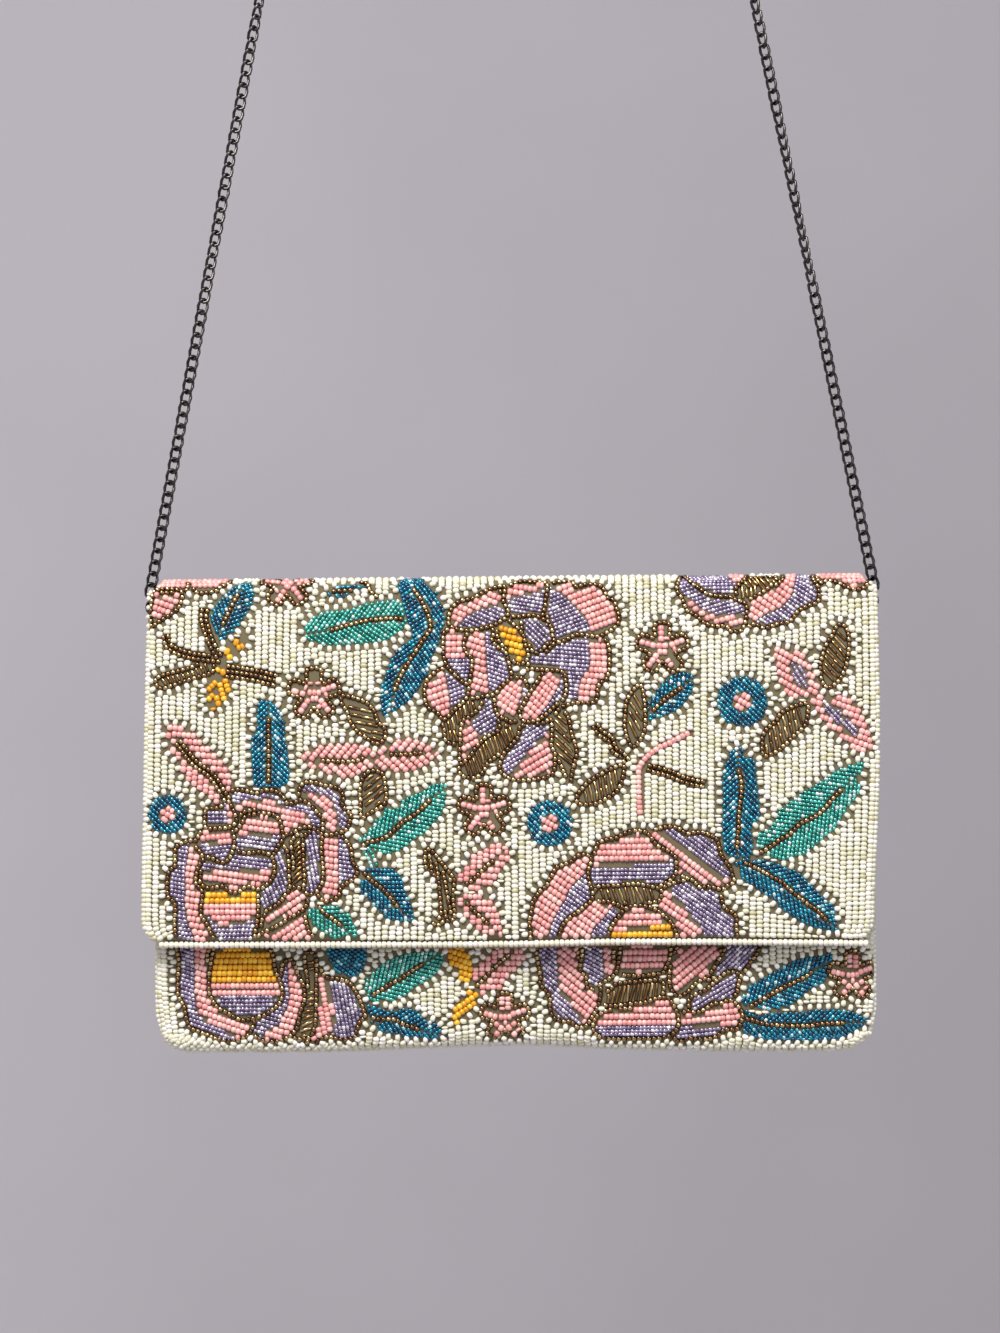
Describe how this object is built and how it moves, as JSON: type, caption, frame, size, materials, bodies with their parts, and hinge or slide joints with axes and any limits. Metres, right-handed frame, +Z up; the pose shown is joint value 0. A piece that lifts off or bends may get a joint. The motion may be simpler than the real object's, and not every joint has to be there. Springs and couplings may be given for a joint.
{
  "type": "beaded clutch",
  "caption": "Flat flap-over evening clutch covered in seed beads with a floral pattern, hanging closed from its long thin chain strap.",
  "frame": {"origin": "underside of the chain strap at the top of its loop, where a hook or shoulder carries it", "axes": "+Z up along the hanging strap, front with the flap faces -Y, +X to the right as seen from the front"},
  "size_m": [0.2528, 0.0225, 0.7367],
  "materials": {
    "cream_beads": "opaque pearly seed beads",
    "base_cloth": "matte",
    "gold_lining": "satin",
    "gunmetal": "polished",
    "pink_beads": "opaque seed beads",
    "lilac_beads": "silver-lined seed beads",
    "mustard_beads": "opaque seed beads",
    "teal_beads": "silver-lined seed beads",
    "turquoise_beads": "silver-lined seed beads",
    "bronze_beads": "metallic-coated seed beads",
    "bronze_bugles": "metallic-coated tube beads"
  },
  "bodies": {
    "root": {"pouch_front": "cream_beads", "back_and_flap": "cream_beads", "flap_lining": "gold_lining", "flap_rim": "cream_beads", "seam_beads": "cream_beads", "magnetic_snap": "gunmetal", "side_eye_left": "gunmetal", "side_eye_right": "gunmetal", "chain_strap": "gunmetal"}
  },
  "joints": []
}
